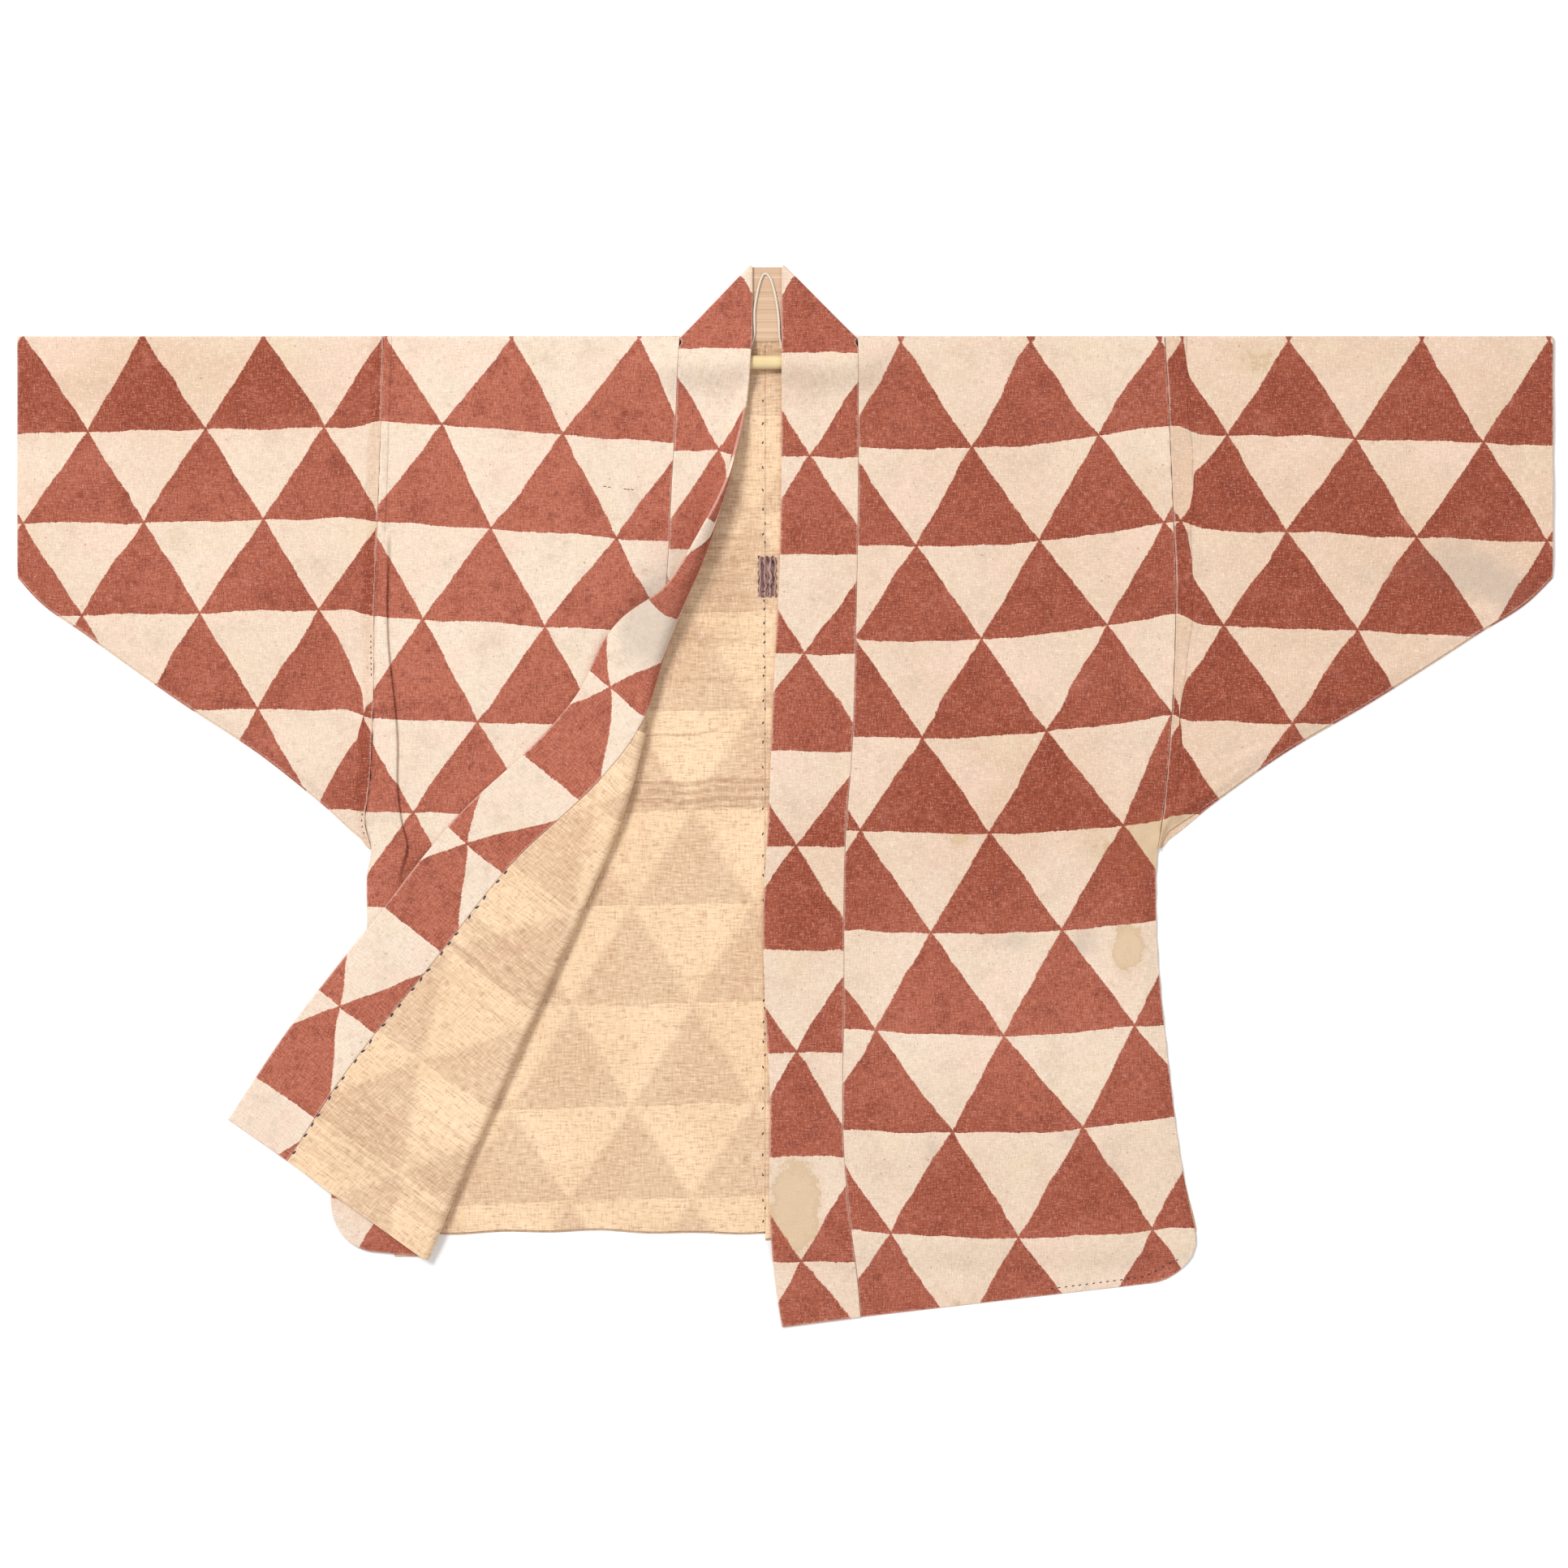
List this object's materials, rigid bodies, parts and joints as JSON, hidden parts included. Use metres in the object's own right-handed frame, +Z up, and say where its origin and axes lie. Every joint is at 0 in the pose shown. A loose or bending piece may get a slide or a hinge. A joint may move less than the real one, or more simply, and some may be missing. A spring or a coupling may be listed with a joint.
{
  "type": "happi coat",
  "caption": "Lined cotton happi coat lying flat, with wide sleeves, a band collar, one front edge turned back and a hanging rod in the neck.",
  "frame": {"origin": "under the middle of the coat, on the surface it lies on", "axes": "+X across the coat towards the wearer's left cuff as seen from above on the right of the picture, +Y up towards the collar, +Z up from the surface"},
  "size_m": [1.2872, 0.891, 0.0329],
  "materials": {
    "outer": "matt cotton, red-brown triangles on cream",
    "lining": "matt coarse open-weave cotton",
    "patch": "matt cotton scrap",
    "rod": "smooth split cane, satin",
    "cord": "twisted cotton string"
  },
  "bodies": {
    "root": {"body_left": "outer", "body_right": "outer", "sleeve_left": "outer", "sleeve_right": "outer", "collar": "outer", "lining_back_left": "lining", "lining_back_right": "lining", "lining_front_left": "lining", "mending_patch": "patch", "hanging_rod": "rod", "hanging_cord": "cord"}
  },
  "joints": []
}
